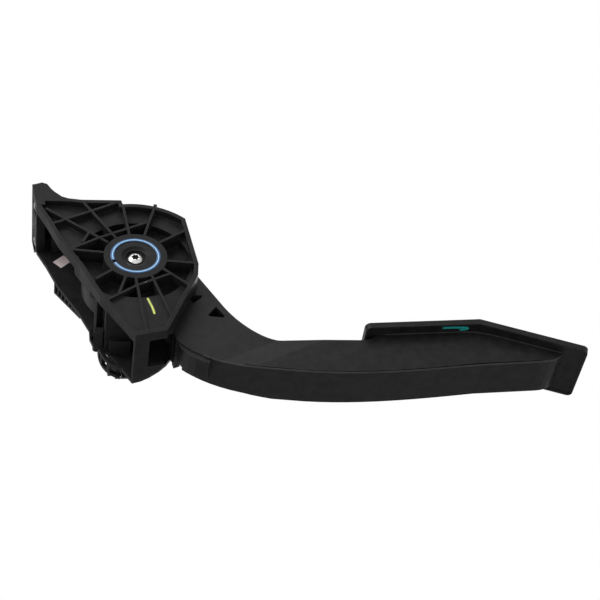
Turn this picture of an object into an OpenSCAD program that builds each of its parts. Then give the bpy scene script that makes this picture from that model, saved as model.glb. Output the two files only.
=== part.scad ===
// Hanging accelerator pedal with a ribbed housing, a cranked arm and a foot pad.
// All lengths are in millimetres. +Z is up, -X points to the bulkhead and
// the hub with the ring faces -Y. The origin is midway between the two upper bolts.
// The side view is drawn about the pivot: across, up, and depth from the near face.

/* [Stance] */
// Turn of the side view that brings the bolts level, in degrees
stance_tilt = 36; // [33:1:39]

/* [Housing] */
// Radius of the rounded crown of both side plates
crown_r = 48; // [47:0.5:49.5]
// Thickness of the rim round the near side plate
rim_t = 2.7; // [2.2:0.1:3.2]
// Thickness of the near side plate at its rim
plate_t = 7; // [6.5:0.5:8]
// Depth of the floor between the outer ribs
floor_depth = 4.5; // [3.5:0.5:5]
// Radius of the sunken well round the hub
well_r = 34.5; // [33.5:0.5:35.5]
// Depth of the sunken well
well_depth = 9.4; // [8.5:0.1:10]
// Depth of the near side plate under the well
near_depth = 12; // [11.6:0.1:12.2]
// Thickness of the ribs on both side plates
rib_t = 1.5; // [1.2:0.1:1.9]
// Outer radius of the hub ring
hub_r = 19.5; // [18.5:0.5:20.5]
// Thickness of the outer walls that join the plates
wall_t = 2.4; // [2:0.1:3]
// Depth at which the far side plate starts
far_depth = 40; // [39.8:0.1:41]
// Thickness of the far side plate's floor
far_floor_t = 2.5; // [2:0.1:3]
// Height of the rim and ribs on the far side plate
far_rib_h = 5; // [4:0.5:6]
// Full width of the end frame beside the bulkhead
frame_width = 49.4; // [49:0.2:51]
// Thickness of the end frame
frame_t = 5.5; // [5:0.5:6.5]

/* [Pivot] */
// Radius of the pivot axle
axle_r = 5; // [4.5:0.1:5.5]
// Running gap between the axle and the hub bushes
axle_play = 0.05; // [0.03:0.01:0.08]
// Wall of the hub bushes
bush_t = 1.9; // [1.5:0.1:2.3]
// Radius of the dished cap on the near hub
cap_r = 12.7; // [12:0.1:12.8]
// Radius of the coloured ring, at the middle of its line
ring_r = 14.1; // [14:0.1:15]
// Width of the coloured ring's line
ring_w = 1.7; // [1.3:0.1:1.7]
// Opening in the coloured ring, in degrees
ring_gap = 10; // [6:1:16]
// Radius of the centre screw's head
screw_head_r = 4.6; // [4.2:0.1:5]

/* [Arm] */
// Depth of the arm's near face beside the housing
arm_near = 13.8; // [13.6:0.1:14.2]
// Depth of the arm's near face beside the pad
arm_near_pad = 12.6; // [12.4:0.1:13]
// Depth of the arm's far face beside the pad
arm_far = 39.6; // [38:0.2:39.6]
// Depth of the arm's far face inside the housing
neck_far = 29.2; // [28.6:0.1:29.4]
// Radius of the arm's hub
arm_hub_r = 32.5; // [31:0.5:33]
// Travel of the arm from rest to full throttle, in degrees
travel = 16; // [14:1:16]

/* [Pad] */
// Thickness of the foot pad
pad_t = 3.2; // [2.6:0.1:4]
// Width of the foot pad
pad_width = 42; // [40:0.5:44]
// Length of the foot pad above its bend
pad_upper = 73.8; // [70:0.2:76]
// Length of the foot pad below its bend
pad_lower = 69.4; // [66:0.2:72]
// Radius of the foot pad's corners
pad_corner_r = 3.5; // [2:0.5:5]

/* [Sensor] */
// Outer radius of the magnet ring
magnet_r = 10.4; // [10:0.1:10.6]
// Thickness of the sensor board
board_t = 1.4; // [1:0.1:1.8]
// Thickness of the lid over the sensor board
lid_t = 1.8; // [1.4:0.1:2.2]
// Number of terminals in the connector
terminal_count = 6; // [4:2:6]

/* [Mounting] */
// Distance between the two upper bolts
bolt_spacing = 30; // [28:1:30]
// Bore radius of the steel sleeves
sleeve_bore_r = 3.3; // [3:0.1:3.5]
// Wall of the steel sleeves
sleeve_t = 1.3; // [1:0.1:1.6]

/* [Hidden] */
$fn = 64;

seat_gap = 0.05;
overlap = 0.02;
moving_gap = 0.3;

// Corners of the side plates, clockwise from the bulkhead end, about the pivot.
end_tip = [-70.4, 56.4];
end_foot = [-65.3, 37.3];
ear_corners = [[-64.8, 59.5], [-61.4, 58.6], [-58, 54], [-55.4, 51.5], [-50.8, 48], [-46.5, 46.8],
    [-38.1, 46.7], [-13.3, 50]];
crown_start = 104.5;
crown_end = 53.8;
crown_steps = 14;
shoulder = [39, -1.8];
shoulder_low = [39.2, -11.6];
toe_right = [23.9, -60.6];
toe_left = [5.5, -67.5];
belly = [[-2.2, -57.5], [-10.1, -47.8], [-17.9, -38.5], [-26, -25.5], [-32.6, -14], [-48.1, 7.7],
    [-57.6, 25]];
far_toe = [[27.9, -45], [25.2, -50.5], [21, -56], [15.5, -61.5], [10.5, -65.2]];

// Helpers for points and outlines.
function arc_points(r, from, to, steps) =
    [for (i = [0 : steps]) let (a = from + (to - from) * i / steps) r * [cos(a), sin(a)]];
function bezier(a, b, c, d, steps) =
    [for (i = [0 : steps]) let (t = i / steps, s = 1 - t)
        s * s * s * a + 3 * s * s * t * b + 3 * s * t * t * c + t * t * t * d];
function unit(v) = v / norm(v);
function inward(a, b) = let (t = unit(b - a)) [t[1], -t[0]];
function inset_corner(a, p, b, d) =
    let (m = unit(inward(a, p) + inward(p, b))) p + m * d / (m * inward(p, b));
function inset(points, d) =
    let (n = len(points))
    [for (i = [0 : n - 1]) inset_corner(points[(i + n - 1) % n], points[i], points[(i + 1) % n], d)];
function on_line(a, b, share) = a + (b - a) * share;

crown = arc_points(crown_r, crown_start, crown_end, crown_steps);
upper_edge = concat([end_tip], ear_corners, crown, [shoulder, shoulder_low]);
near_outline = concat(upper_edge, [toe_right, toe_left], belly, [end_foot]);
far_outline = concat(upper_edge, far_toe, [toe_left], belly, [end_foot]);

// Places of the upper bolts in the side view: across the bolt's axis and along it.
bolt_height = 76;
sleeve_start = -26.4;
sleeve_end = -15.6;
mid_depth = frame_width / 2 + 1.3;
sleeve_r = sleeve_bore_r + sleeve_t;
boss_r = sleeve_r + 2.2;

// Depths of the pieces on the pivot.
hub_recess = 4.6;
dish_r = 9.15;
dish_floor_r = 6.5;
dish_depth = 3.4;
washer_gap = 0.15;
bore_r = axle_r + axle_play + bush_t;
drum_r = 11.6;
drum_end = far_depth - 1;
magnet_t = 2.4;
screw_shank_r = 2.1;
axle_head_r = 7.4;
axle_head_t = 1.6;

// Places of the pad in the side view.
pad_bend = [216, -21.3];
pad_upper_angle = 10.2;
pad_lower_angle = -12.8;
pad_near = 5;

// The arm's hub has a flat that meets the rest stop.
hub_flat_turn = 35.2;
function on_hub_flat(along) = (arm_hub_r + 0.5) * [cos(hub_flat_turn), sin(hub_flat_turn)]
    + along * [sin(hub_flat_turn), -cos(hub_flat_turn)];

// Puts a side view drawing into the fitted stance.
module fitted() {
    translate([-sleeve_start, -mid_depth, -bolt_height])
        rotate([0, stance_tilt, 0])
            rotate([90, 0, 0])
                children();
}

// Extrudes a side view outline between two depths.
module slab(top, bottom) {
    translate([0, 0, -bottom])
        linear_extrude(bottom - top)
            children();
}

// A ring or disc about the pivot between two depths.
module disc(r, top, bottom, hole = 0) {
    translate([0, 0, -bottom])
        difference() {
            cylinder(r = r, h = bottom - top);
            if (hole > 0)
                translate([0, 0, -1])
                    cylinder(r = hole, h = bottom - top + 2);
        }
}

// A straight rib between two points of the side view.
module rib(a, b, t = rib_t) {
    d = b - a;
    translate(a)
        rotate(atan2(d[1], d[0]))
            translate([0, -t / 2])
                square([norm(d), t]);
}

// Stands its children on a bolt's axis, which runs level towards the driver.
module on_bolt_axis(along, side) {
    rotate([0, 0, stance_tilt])
        translate([along, bolt_height, -mid_depth + side])
            rotate([0, 90, 0])
                children();
}

// Ribs of the near side plate: radial ribs start inside the hub ring.
hub_ribs = [[-59.2, 35.4], [-36.4, 44.3], [-12.4, 48], [8.6, 48.5], [31.6, 30], [40, -1.1], [35.7, -22],
    [25.9, -50], [11.9, -64], [-7.2, -34], [-22, -23.4], [-40.6, 0.2]];
hub_rib_starts = [[-17.9, 9.8], [-13.1, 14.2], [-5.4, 18.6], [3.9, 19.4], [13.5, 14], [19.2, -1.6],
    [16.8, -8.3], [11, -15.8], [1.6, -18.8], [-4.4, -18.6], [-12.7, -13.8], [-19, 0.4]];
cross_ribs = [[[-40.6, 0], [-23.8, 13.1]], [[-23.8, 13.1], [-5.6, 25.1]], [[-5.6, 25.1], [6, 32.6]],
    [[-55.4, 20.6], [-31.2, 37.1]], [[-31.2, 37.1], [-13.6, 49.4]],
    [[-13, -39.8], [2.9, -25.6]], [[2.9, -25.6], [22.8, -12.2]], [[-33.2, 8], [-30.3, 17.3]]];

module near_ribs() {
    intersection() {
        union() {
            for (i = [0 : len(hub_ribs) - 1])
                rib(hub_rib_starts[i], hub_ribs[i]);
            for (pair = cross_ribs)
                rib(pair[0], pair[1]);
        }
        polygon(inset(near_outline, rim_t / 2));
    }
}

// The smooth raised panel at the toe of the near plate.
toe_panel = [[-16, -42], [2.9, -26.5], [12, -20], [26, -45], [26, -70], [4, -70]];
toe_panel_depth = 2;

// A small pip stands out of the crown at the end of one rib.
crown_pip_w = 2.2;
crown_pip_t = 2.4;

// The solid corner of the near plate above the end frame.
ear_web = [[-75, 44], [-66.5, 41.8], [-61.5, 42.2], [-51.4, 43.4], [-46, 44], [-46, 65], [-75, 65]];

module near_top() {
    difference() {
        polygon(near_outline);
        polygon(inset(near_outline, rim_t));
    }
    near_ribs();
    intersection() {
        polygon(ear_web);
        polygon(near_outline);
    }
    circle(r = hub_r);
}

module well_ribs() {
    intersection() {
        near_ribs();
        circle(r = well_r + wall_t / 2);
    }
    circle(r = hub_r);
}

// Walls between the two plates: the spine along the top, the toe and the connector's back.
module spine() {
    difference() {
        polygon(near_outline);
        polygon(inset(near_outline, wall_t));
        polygon([[-90, 0], end_foot, end_foot + [8, 4], [20, 33], [50, 48], [60, 0], [60, -80], [-90, -80]]);
    }
}

module arm_side_wall() {
    intersection() {
        difference() {
            polygon(near_outline);
            polygon(inset(near_outline, wall_t));
        }
        polygon([[20, 50], [60, 50], [60, -52], [24, -52], [28, -20]]);
    }
}

module well_wall() {
    intersection() {
        difference() {
            circle(r = well_r + wall_t);
            circle(r = well_r);
        }
        polygon(near_outline);
    }
}

// The connector's back is a smooth wall with a raised block, both square to the toe's side.
back_left = [-13.6, -44.9];
back_slope = 7.8;
back_length = 16;
back_side = 11;
// The block is as long as three terminals in a row need, with room and the shroud round them.
pin_w = 0.8;
pin_pitch = 3.2;
pin_room = 0.5;
shroud_wall = 1.2;
grip_depth = 0.9;
block_start = 3.1;
block_length = 2 * pin_pitch + pin_w + 2 * (pin_room + shroud_wall + grip_depth);
block_rise = 3.4;
block_depth = 29;

module on_back() {
    translate(back_left)
        rotate(back_slope)
            children();
}

module connector_back() {
    on_back() {
        square([back_length, wall_t]);
        square([wall_t, back_side]);
    }
    rib([-20.6, -33.2], [-17, -30], wall_t);
}

module connector_block() {
    on_back()
        translate([block_start, -block_rise])
            square([block_length, block_rise + wall_t / 2]);
}

module near_plate() {
    slab(0, toe_panel_depth)
        near_top();
    slab(toe_panel_depth, floor_depth)
        union() {
            near_top();
            difference() {
                intersection() {
                    polygon(toe_panel);
                    polygon(near_outline);
                }
                circle(r = well_r);
            }
        }
    slab(floor_depth, plate_t)
        union() {
            difference() {
                polygon(near_outline);
                circle(r = well_r);
            }
            well_ribs();
        }
    slab(plate_t, well_depth)
        union() {
            well_ribs();
            well_wall();
            middle_walls();
            arm_side_wall();
        }
    slab(0, crown_pip_t)
        rib([8.3, crown_r - 3], [8.7, crown_r + 1.4], crown_pip_w);
    slab(well_depth, near_depth)
        union() {
            intersection() {
                circle(r = well_r + wall_t);
                polygon(near_outline);
            }
            middle_walls();
            arm_side_wall();
        }
}

// Everything that runs at full height between the plates.
module middle_walls() {
    spine();
    connector_back();
    for (place = column_places)
        translate(place)
            circle(r = column_r);
}

// The end frame faces the bulkhead and carries crossed ribs between three cells.
frame_length = norm(end_tip - end_foot);
frame_angle = atan2(end_tip[1] - end_foot[1], end_tip[0] - end_foot[0]);
frame_cells = 3;
frame_rim = 1.6;
frame_pocket = 3.6;
frame_lap = 0.15;
frame_cut = 40.8;

module end_frame() {
    cell = (frame_width - frame_rim) / frame_cells;
    translate([end_foot[0], end_foot[1], 0])
        rotate([0, 0, frame_angle])
            difference() {
                translate([-frame_lap, -frame_t, -frame_width])
                    cube([frame_length + 2 * frame_lap, frame_t + frame_lap, frame_width + frame_lap]);
                for (i = [0 : frame_cells - 1])
                    translate([frame_rim, -frame_pocket, -frame_width + frame_rim + i * cell])
                        difference() {
                            cube([frame_length - 2 * frame_rim, frame_pocket + 1, cell - frame_rim]);
                            crossed_ribs(frame_length - 2 * frame_rim, cell - frame_rim);
                            translate([-frame_rim, frame_pocket, frame_width - frame_rim - i * cell])
                                frame_corner(frame_cut - 1.4 * frame_rim);
                        }
                frame_corner(frame_cut);
            }
}

// The corner of the end frame beyond a slanting line, seen from the bulkhead.
module frame_corner(start) {
    translate([0, 20, 0])
        rotate([90, 0, 0])
            linear_extrude(40)
                polygon([[-10, 10 - start], [30, -30 - start], [30, -90], [-10, -90]]);
}

module crossed_ribs(length, height) {
    diagonal = norm([length, height]);
    angle = atan2(height, length);
    for (turn = [angle, -angle])
        translate([length / 2, 0, height / 2])
            rotate([0, -turn, 0])
                translate([-diagonal / 2, 0, -rib_t / 2])
                    cube([diagonal, frame_pocket + 1, rib_t]);
}

// Bosses that hold the steel sleeves, and the webs that tie them to the plates.
module bolt_bosses() {
    for (side = [-bolt_spacing / 2, bolt_spacing / 2])
        on_bolt_axis(sleeve_start + 0.4, side)
            cylinder(r = boss_r, h = sleeve_end - sleeve_start - 0.8);
    rotate([0, 0, stance_tilt])
        translate([sleeve_start + 3, bolt_height - wall_t / 2, -far_depth])
            cube([6.4, wall_t, far_depth - plate_t]);
}

module bolt_holes() {
    for (side = [-bolt_spacing / 2, bolt_spacing / 2])
        on_bolt_axis(sleeve_start - 12, side)
            cylinder(r = sleeve_r + seat_gap, h = 40);
}

// The toe wall between the plates, open on the arm's side so that the arm can enter.
window_top = 6.5;
window_bottom = 30;
window_left = 8.9;

module toe_wall() {
    length = norm(toe_right - toe_left);
    angle = atan2(toe_right[1] - toe_left[1], toe_right[0] - toe_left[0]);
    translate([toe_left[0], toe_left[1], 0])
        rotate([0, 0, angle])
            rotate([90, 0, 0])
                translate([0, 0, -wall_t])
                    linear_extrude(wall_t)
                        difference() {
                            polygon([[0, -plate_t + 2], [0, -far_depth], [6, -far_depth], [11, -37.5],
                                [17, -34.5], [length, -window_bottom], [length, -plate_t + 2]]);
                            polygon([[window_left, -window_top], [window_left, -window_bottom],
                                [length + 1, -window_bottom], [length + 1, -window_top]]);
                        }
}

// Columns that take the cover screws.
column_r = 3.3;
column_places = [[-26.3, 31.3], [10.5, 39.4], [8.8, -57], [-53.2, 41.1]];
column_hole_r = 1.3;

module column_holes() {
    for (place = column_places)
        translate([place[0], place[1], -far_depth - 1])
            cylinder(r = column_hole_r + seat_gap, h = 13, $fn = 24);
}

// Lugs under the near plate carry the two rubber stops.
function turned(p, a) = [p[0] * cos(a) - p[1] * sin(a), p[0] * sin(a) + p[1] * cos(a)];
stop_bottom = 28;
stop_t = 1.6;
stop_lug_t = 3;
rest_line = [on_hub_flat(4.9), on_hub_flat(11)];
full_line = [turned([27.3, -48.6], -travel), turned([25.7, -44], -travel)];

// A strip beside a contact line, from one distance to another.
function strip(line, from, to) =
    let (out = -inward(line[0], line[1]))
    [line[0] + out * from, line[1] + out * from, line[1] + out * to, line[0] + out * to];

module lugs() {
    slab(near_depth, stop_bottom) {
        intersection() {
            polygon(strip(rest_line, moving_gap + stop_t, 12));
            polygon(near_outline);
        }
        polygon(strip(full_line, moving_gap + stop_t, moving_gap + stop_t + stop_lug_t));
        rib(column_places[2],
            on_line(full_line[0], full_line[1], 0.3) - [moving_gap + stop_t + 1.5, 0], wall_t);
    }
}

module housing() {
    color([0.17, 0.17, 0.175])
        fitted()
            difference() {
                union() {
                    near_plate();
                    slab(near_depth, far_depth)
                        middle_walls();
                    slab(block_depth, far_depth)
                        connector_block();
                    lugs();
                    end_frame();
                    bolt_bosses();
                    toe_wall();
                }
                bolt_holes();
                column_holes();
                disc(cap_r + 0.1, -1, hub_recess);
                disc(ring_r + ring_w / 2 + 0.1, -1, 0.8, ring_r - ring_w / 2 - 0.1);
                disc(axle_r + seat_gap, -1, near_depth + 1);
            }
}

// The far side plate closes the housing; its rim and ribs face away from the arm.
far_ribs = [[-38, 43.5], [-12, 44], [8, 44], [27, 32], [35, 0], [30, -24], [16, -50], [-22, -30],
    [-36, -6], [-50, 18]];
cover_ring = concat([[-46.5, 46.8], [-38.1, 46.7]], crown, [shoulder, shoulder_low], far_toe, [toe_left],
    belly, [[-62, 34]]);
far_hub_r = 13;
cover_rim_inset = 3;
cover_rim_t = 2;
pocket_size = [27, 24.5];
pocket_place = [-17, -33];
pocket_wall = 1.8;
board_gap = 1.6;
floor_end = far_depth + far_floor_t;
pocket_end = floor_end + far_rib_h;
board_depth = floor_end + board_gap;

module pocket_square(grow) {
    translate(pocket_place - [grow, grow])
        square(pocket_size + 2 * [grow, grow]);
}

module cover_ribs() {
    difference() {
        polygon(inset(cover_ring, cover_rim_inset));
        polygon(inset(cover_ring, cover_rim_inset + cover_rim_t));
        polygon([[-18, -80], [-18, -36], [20, -36], [34, -46], [60, -80]]);
    }
    intersection() {
        union() {
            for (tip = far_ribs)
                rib(far_hub_r * unit(tip) * 0.8, tip);
        }
        polygon(inset(cover_ring, 0.4));
    }
    circle(r = far_hub_r);
    for (place = column_places)
        translate(place)
            circle(r = column_r);
    pocket_square(pocket_wall);
    lid_screw_places()
        circle(r = lid_boss_r);
}

module side_cover() {
    color([0.16, 0.16, 0.165])
        fitted()
            difference() {
                union() {
                    slab(far_depth, floor_end)
                        union() {
                            polygon(far_outline);
                            polygon(clip_tab);
                            connector_square(0);
                        }
                    slab(floor_end, pocket_end)
                        difference() {
                            cover_ribs();
                            pocket_square(0);
                            circle(r = axle_head_r + 0.2);
                        }
                    board_posts();
                    fixed_spring_lug();
                    clip_block();
                    guard_rail();
                    edge_cells();
                }
                disc(axle_r + seat_gap, far_depth - 1, floor_end + 1);
                for (place = column_places)
                    translate([place[0], place[1], -pocket_end - 1])
                        cylinder(r = column_hole_r + 0.3, h = pocket_end - far_depth + 2, $fn = 24);
                inner_spring_hole(spring_end_turn, far_depth - 1, floor_end + 1);
                slab(lid_start - lid_screw_length, pocket_end + 1)
                    lid_screw_places()
                        circle(r = lid_screw_r + seat_gap, $fn = 24);
                frame_clearance();
            }
}

module board_posts() {
    for (x = [0, 1], y = [0, 1])
        translate([pocket_place[0] + x * (pocket_size[0] - 2), pocket_place[1] + y * (pocket_size[1] - 2),
            -board_depth])
            cube([2, 2, board_gap + overlap]);
}

// Open cells along the bulkhead edge of the far plate: fins between the plate and a
// sloping rail, in front of a back wall.
cells_start = [-50.6, 11.6];
cells_end = [-31.4, -15.9];
cell_count = 7;
cell_fin_t = 1.4;
cell_reach = 3.6;
cells_deep = 51;
cells_shallow = 44;
cell_rail = 1.6;

module cell_sheet(start, depth, lift) {
    length = norm(cells_end - cells_start);
    angle = atan2(cells_end[1] - cells_start[1], cells_end[0] - cells_start[0]);
    translate([cells_start[0], cells_start[1], 0])
        rotate([0, 0, angle])
            translate([0, start + depth, 0])
                rotate([90, 0, 0])
                    linear_extrude(depth)
                        polygon([[0, -lift], [length, -lift], [length, -cells_shallow], [0, -cells_deep]]);
}

module edge_cells() {
    length = norm(cells_end - cells_start);
    angle = atan2(cells_end[1] - cells_start[1], cells_end[0] - cells_start[0]);
    cell_sheet(cell_reach, 1.4, far_depth + 1);
    difference() {
        cell_sheet(0, cell_reach + 0.5, far_depth + 1);
        translate([0, 0, cell_rail])
            cell_sheet(-1, cell_reach + 1, floor_end);
    }
    intersection() {
        cell_sheet(0, cell_reach + 0.5, far_depth + 1);
        translate([cells_start[0], cells_start[1], -cells_deep - 1])
            rotate([0, 0, angle])
                for (i = [0 : cell_count])
                    translate([i * (length - cell_fin_t) / cell_count, -1, 0])
                        cube([cell_fin_t, cell_reach + 2, cells_deep - far_depth]);
    }
}

// A small block and leaf beside the connector's back, standing on a tab of the far plate.
clip_tab = [[-24.5, -27], [-23.4, -35.2], [-20, -42.6], [-13.4, -42.6], [-12, -36]];
clip_top = 27;

module clip_block() {
    slab(clip_top, far_depth)
        translate([-20.4, -42.6])
            square([5.6, 4]);
    slab(clip_top + 3, far_depth)
        translate([-19, -39])
            square([3.7, 4]);
    slab(clip_top + 4, far_depth)
        translate([-23, -36.4])
            square([1, 3]);
}

// A curved rail guards the connector; it is two bars joined by short webs.
guard_outer = bezier([-17.9, -38.6], [-16.6, -47], [-12.6, -55.5], [-2.4, -58.2], 8);
guard_inner = bezier([-1.4, -55.6], [-11, -53.2], [-14.4, -44.6], [-15.2, -38.2], 8);
guard_bar = 1.8;
guard_end = 50;

module guard_rail() {
    slab(far_depth, far_depth + guard_bar)
        polygon(concat(guard_outer, guard_inner));
    slab(guard_end - guard_bar, guard_end)
        polygon(concat(guard_outer, guard_inner));
    slab(far_depth + 1, guard_end - 1)
        intersection() {
            polygon(concat(guard_outer, guard_inner));
            union() {
                rib([-20, -39.8], [-12, -39.2], 2);
                rib([-18, -43.3], [-12, -42], 1.3);
                rib([-17, -49], [-10, -45.5], 1.3);
                rib([-12.5, -57], [-6, -49], 2.4);
            }
        }
}

// Room that the end frame and the bolt bosses take from the far plate.
module frame_clearance() {
    rotate([0, 0, stance_tilt])
        translate([sleeve_start - 30, bolt_height - boss_r - 0.15, -pocket_end - 1])
            cube([80, 40, 20]);
    translate([end_foot[0], end_foot[1], 0])
        rotate([0, 0, frame_angle])
            translate([-frame_lap - seat_gap, -frame_t - seat_gap, -frame_width - 1])
                cube([frame_length + 20, frame_t + 20, frame_width + 1]);
}

module pivot_cap() {
    color([0.15, 0.15, 0.155])
        fitted()
            difference() {
                disc(cap_r, 0.3, hub_recess);
                translate([0, 0, -1.6])
                    cylinder(r1 = dish_floor_r + 0.6, r2 = dish_r, h = 1.6);
                disc(dish_floor_r, 0, dish_depth);
                disc(screw_shank_r + 0.1, -1, hub_recess + 1);
            }
}

module hub_ring() {
    ring_turn = 213;
    color([0.25, 0.5, 0.85])
        fitted()
            translate([0, 0, -0.8])
                rotate([0, 0, ring_turn])
                    rotate_extrude(angle = 360 - ring_gap, $fn = 96)
                        translate([ring_r - ring_w / 2, 0])
                            square([ring_w, 0.9]);
}

// A six-lobed socket is cut in the centre screw's rounded head.
module centre_screw() {
    lobe_r = 0.7;
    head_h = 2.8;
    color([0.82, 0.82, 0.8])
        fitted()
            difference() {
                union() {
                    intersection() {
                        disc(screw_head_r, dish_depth - head_h, dish_depth);
                        translate([0, 0, -dish_depth - 3.3])
                            sphere(r = 6.2);
                    }
                    disc(screw_shank_r, dish_depth - overlap, dish_depth + 14);
                }
                translate([0, 0, -dish_depth + head_h - 1.6])
                    linear_extrude(3)
                        union() {
                            circle(r = 1.9, $fn = 24);
                            for (i = [0 : 5])
                                rotate([0, 0, 60 * i])
                                    translate([1.8, 0])
                                        circle(r = lobe_r, $fn = 16);
                        }
            }
}

module pivot_axle() {
    color([0.7, 0.71, 0.72])
        fitted()
            difference() {
                union() {
                    disc(axle_r, hub_recess, far_depth + far_floor_t + overlap);
                    disc(axle_head_r, far_depth + far_floor_t, far_depth + far_floor_t + axle_head_t);
                }
                disc(screw_shank_r + seat_gap, hub_recess - 1, dish_depth + 15);
            }
}

// Outline of the arm from the hub to the pad's end.
crank_start = [56.6, -23];
crank_end = [93, -47.5];
knee = [216.3, -52.8];
heel = [83.5, -72.2];
gate = [29.5, -54.5];
upper_curve = bezier(crank_start, [66.4, -36.9], [83, -48.5], crank_end, 12);
lower_curve = bezier(knee, [182, -61.4], [145, -70.4], [110, -71.8], 12);
heel_curve = bezier(heel, [62, -72.4], [40, -66], gate, 10);
tip_start = pad_bend + way(pad_lower_angle) * 55.5 + under(pad_lower_angle) * (pad_t - 0.8);
tip_curve = bezier(tip_start, tip_start + [-1.2, -3.8], [264, -44.2], [256.6, -45.4], 6);
neck_groove = [[28.4, -51.4], [28.7, -50], [27.3, -48.6]];

arm_outline = concat([[14, 26], on_hub_flat(0), on_hub_flat(21.9)], upper_curve,
    [[140.8, -41.9], [147.5, -40.6], [152, -36.2], pad_bend - [0, 1.6]],
    tip_curve, lower_curve, heel_curve, neck_groove, [[25.7, -44], [10, -29.3]]);

// Depth of the arm's faces along its length, seen from the driver's side.
near_step_start = [62, -66];
near_step_end = [88, -49];
step_run = 13;

module arm_depth_profile() {
    rotate([90, 0, 0])
        translate([0, 0, -60])
            linear_extrude(160)
                polygon([[-40, -arm_near_pad + 1], [290, -arm_near_pad + 1], [290, -arm_far], [90, -arm_far],
                    [72, -arm_far + 2.6], [42, -35.4], [-40, -35.4]]);
}

// Lowers the near face beside the housing, with a slanting step across the arm.
module near_step_cut() {
    d = near_step_end - near_step_start;
    rise = arm_near - arm_near_pad;
    translate([near_step_start[0], near_step_start[1], 0])
        rotate([0, 0, atan2(d[1], d[0])])
            rotate([0, -90, 0])
                translate([0, 0, -80])
                    linear_extrude(200)
                        polygon([[-arm_near, 200], [-arm_near, 0], [-arm_near + 2 * rise, -2 * step_run],
                            [0, -2 * step_run], [0, 200]]);
}

// The heel flares out behind the near face, clear of the toe wall at full throttle.
flare_outline = [[34, -52], [31.2, -57.2], [32.2, -59.8], [34.4, -62.6], [37.6, -65.2], [42, -67.8],
    [50, -70.4], [52, -66]];
flare_turn = 230;
flare_start = 23.6;
flare_slope = 20;

module heel_flare() {
    difference() {
        slab(arm_near + 0.8, neck_far)
            polygon(flare_outline);
        rotate([0, 0, flare_turn])
            translate([flare_start, 0, -arm_near])
                rotate([0, flare_slope, 0])
                    translate([0, -60, -60])
                        cube([60, 120, 120]);
    }
}

// Relief that lets the arm's far side pass the toe wall, and the wall beside it that
// stays inside the toe wall.
relief_r = 68.3;
toe_clear_r = 62.2;
edge_wall = [[25.7, -44], [27.3, -48.6], [28.7, -50], [28.4, -51.4], gate, [34, -56], [31.5, -45], [28, -40]];

module arm_body() {
    difference() {
        intersection() {
            slab(arm_near_pad, arm_far)
                union() {
                    polygon(arm_outline);
                    circle(r = arm_hub_r);
                }
            arm_depth_profile();
        }
        near_step_cut();
        disc(relief_r, neck_far, far_depth + 10);
    }
    slab(neck_far - 1, arm_far)
        intersection() {
            polygon(edge_wall);
            circle(r = toe_clear_r);
        }
}

// The pad is one bent plate; its front face is a line with a bend in the side view.
function way(angle) = [cos(angle), sin(angle)];
function under(angle) = [sin(angle), -cos(angle)];
pad_top = pad_bend - way(pad_upper_angle) * pad_upper;
pad_tip = pad_bend + way(pad_lower_angle) * pad_lower;
pad_half_angle = (pad_upper_angle + pad_lower_angle) / 2;
pad_lip_w = 1.3;
pad_lip_h = 0.9;
tread_side = 6;
tread_w = 2.2;
tread_depth = 0.8;
tread_lower = [10, 18, 26, 42, 50, 58];
tread_upper = [10, 18, 26, 34, 42, 50, 58, 65];

// Points of the pad's side view, behind its two ends and its bend.
function behind_top(along, t) = pad_top + way(pad_upper_angle) * along + under(pad_upper_angle) * t;
function behind_tip(along, t) = pad_tip - way(pad_lower_angle) * along + under(pad_lower_angle) * t;
function behind_bend(t) = pad_bend + under(pad_half_angle) * t / cos(pad_half_angle - pad_lower_angle);

pad_middle = [pad_top, pad_bend, pad_tip, behind_tip(0, pad_t + pad_lip_h),
    behind_tip(pad_lip_w, pad_t + pad_lip_h), behind_tip(pad_lip_w, pad_t), behind_bend(pad_t),
    behind_top(pad_lip_w, pad_t), behind_top(pad_lip_w, pad_t + pad_lip_h), behind_top(0, pad_t + pad_lip_h)];
pad_side = [pad_top, pad_bend, pad_tip, behind_tip(0, pad_t + pad_lip_h), behind_bend(pad_t + pad_lip_h),
    behind_top(0, pad_t + pad_lip_h)];

module tread(angle, places) {
    slab(pad_near + tread_side, pad_near + pad_width - tread_side)
        for (along = places)
            translate(pad_bend + way(angle) * along)
                rotate(angle)
                    translate([-tread_w / 2, -tread_depth])
                        square([tread_w, 2 * tread_depth]);
}

// Takes the sharp corner off the end of the pad that its children's X axis points along.
module pad_corner_cuts(end, angle) {
    inset_r = pad_corner_r - overlap;
    translate([end[0], end[1], -pad_near])
        rotate([0, 0, angle])
            for (side = [0, 1])
                translate([-inset_r, 0, -side * pad_width])
                    mirror([0, 0, side])
                        difference() {
                            translate([0, -50, -inset_r])
                                cube([pad_corner_r + 1, 100, pad_corner_r + 1]);
                            translate([0, 0, -inset_r])
                                rotate([90, 0, 0])
                                    cylinder(r = pad_corner_r, h = 110, center = true, $fn = 32);
                        }
}

module pad_plate() {
    difference() {
        union() {
            slab(pad_near, pad_near + pad_width)
                polygon(pad_middle);
            for (side = [pad_near, pad_near + pad_width - pad_lip_w])
                slab(side, side + pad_lip_w)
                    polygon(pad_side);
        }
        tread(pad_lower_angle, tread_lower);
        tread(pad_upper_angle, -1 * tread_upper);
        pad_corner_cuts(pad_tip, pad_lower_angle);
        pad_corner_cuts(pad_top, pad_upper_angle + 180);
    }
}

// Pockets that lighten the arm beside the housing.
pocket_one = [[34.3, -18], [37.1, -15.9], [42.7, -15.1], [43.1, -16.8], [38.1, -22.5], [35.1, -19.9]];
pocket_two = [[51.9, -23.6], [57.9, -31.3], [56.9, -32.7], [48.1, -32.6], [47.7, -31.2]];
pocket_floor = 24;

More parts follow.
